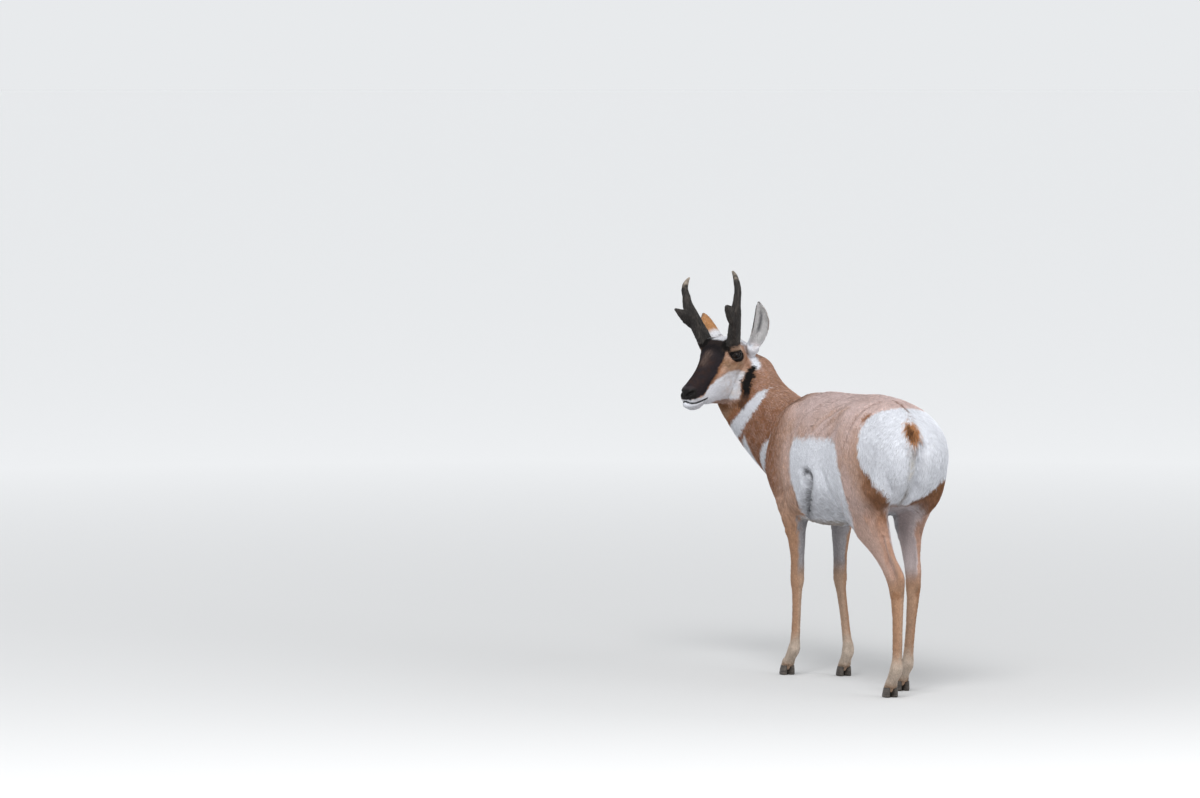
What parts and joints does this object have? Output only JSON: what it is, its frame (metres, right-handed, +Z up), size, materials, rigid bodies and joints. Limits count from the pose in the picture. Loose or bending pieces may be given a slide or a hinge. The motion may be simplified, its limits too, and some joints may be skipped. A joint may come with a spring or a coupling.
{
  "type": "pronghorn",
  "caption": "Life-size still pronghorn buck, standing and looking back over its left shoulder, with pronged horns, cupped ears, cloven hooves and a short tail.",
  "frame": {"origin": "the middle of the floor under the animal's bounding box, at the level of its soles", "axes": "+Z up, -Y the way the body faces, +X to its left side"},
  "size_m": [0.5072, 1.2722, 1.253],
  "materials": {
    "tan_coat": "short tan fur",
    "white_coat": "soft white fur",
    "horn": "rough dark horn",
    "eye": "wet black",
    "hoof": "dull black hoof"
  },
  "bodies": {
    "root": {"head": "tan_coat", "neck": "tan_coat", "torso": "tan_coat", "tail": "white_coat", "left_ear": "tan_coat", "left_eye": "eye", "left_horn": "horn", "right_ear": "tan_coat", "right_eye": "eye", "right_horn": "horn", "left_foreleg_upper": "tan_coat", "left_foreleg_lower": "tan_coat", "left_foreleg_outer_claw": "hoof", "left_foreleg_inner_claw": "hoof", "right_foreleg_upper": "tan_coat", "right_foreleg_lower": "tan_coat", "right_foreleg_outer_claw": "hoof", "right_foreleg_inner_claw": "hoof", "left_hindleg_upper": "tan_coat", "left_hindleg_lower": "tan_coat", "left_hindleg_outer_claw": "hoof", "left_hindleg_inner_claw": "hoof", "right_hindleg_upper": "tan_coat", "right_hindleg_lower": "tan_coat", "right_hindleg_outer_claw": "hoof", "right_hindleg_inner_claw": "hoof"}
  },
  "joints": []
}
